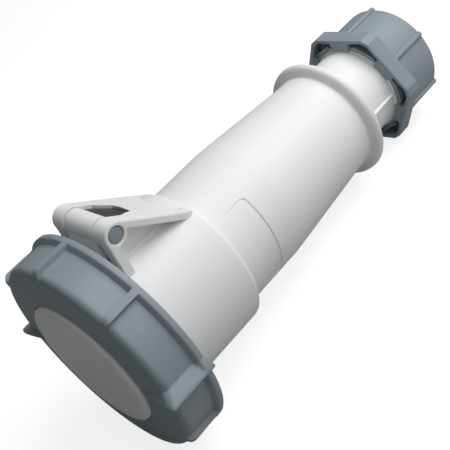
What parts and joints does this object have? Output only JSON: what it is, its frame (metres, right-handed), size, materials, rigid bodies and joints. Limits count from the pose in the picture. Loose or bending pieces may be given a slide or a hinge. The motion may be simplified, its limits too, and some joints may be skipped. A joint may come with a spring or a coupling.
{
  "type": "industrial cable connector",
  "caption": "Industrial cable connector with a hinged lid locked by a bayonet ring, a tapered housing and a hexagonal cable gland.",
  "frame": {"origin": "centre of the lid's outer face", "axes": "+X along the connector to the cable gland, +Z from the axis to the lid hinge, Y along the hinge pin"},
  "size_m": [0.2769, 0.134, 0.1321],
  "materials": {
    "white_plastic": "fine satin",
    "blue_grey_plastic": "satin",
    "dark_plastic": "matte",
    "black_plastic": "matte",
    "black_rubber": "matte",
    "contact_brass": "bright turned",
    "screw_steel": "zinc plated"
  },
  "bodies": {
    "housing": {"front_shell": "white_plastic", "rear_housing": "white_plastic", "hinge_pin": "blue_grey_plastic", "clamp_cage": "black_plastic", "gland_washer": "black_plastic", "contact_carrier": "dark_plastic", "socket_gasket": "black_rubber", "housing_o_ring": "black_rubber", "gland_seal": "black_rubber", "contact_line_1": "contact_brass", "screw_line_1": "screw_steel", "contact_line_2": "contact_brass", "screw_line_2": "screw_steel", "contact_line_3": "contact_brass", "screw_line_3": "screw_steel", "contact_neutral": "contact_brass", "screw_neutral": "screw_steel", "contact_earth": "contact_brass", "screw_earth": "screw_steel", "contact_pilot": "contact_brass", "screw_pilot": "screw_steel"},
    "lid": {"lid": "white_plastic", "lid_seal": "black_rubber"},
    "ring": {"bayonet_ring": "blue_grey_plastic", "ring_retainer": "blue_grey_plastic"},
    "nut": {"gland_nut": "blue_grey_plastic"}
  },
  "joints": [
    {"name": "lid_hinge", "type": "hinge", "parent": "housing", "child": "lid", "pos_m": [0.0393, 0, 0.0613], "axis": [0, 1, 0], "range_deg": [0, 105]},
    {"name": "ring_turn", "type": "hinge", "parent": "lid", "child": "ring", "pos_m": [0.015, 0, 0], "axis": [-1, 0, 0], "range_deg": [0, 30]},
    {"name": "gland_nut_turn", "type": "hinge", "parent": "housing", "child": "nut", "pos_m": [0.25, 0, 0], "axis": [1, 0, 0], "continuous": true}
  ]
}
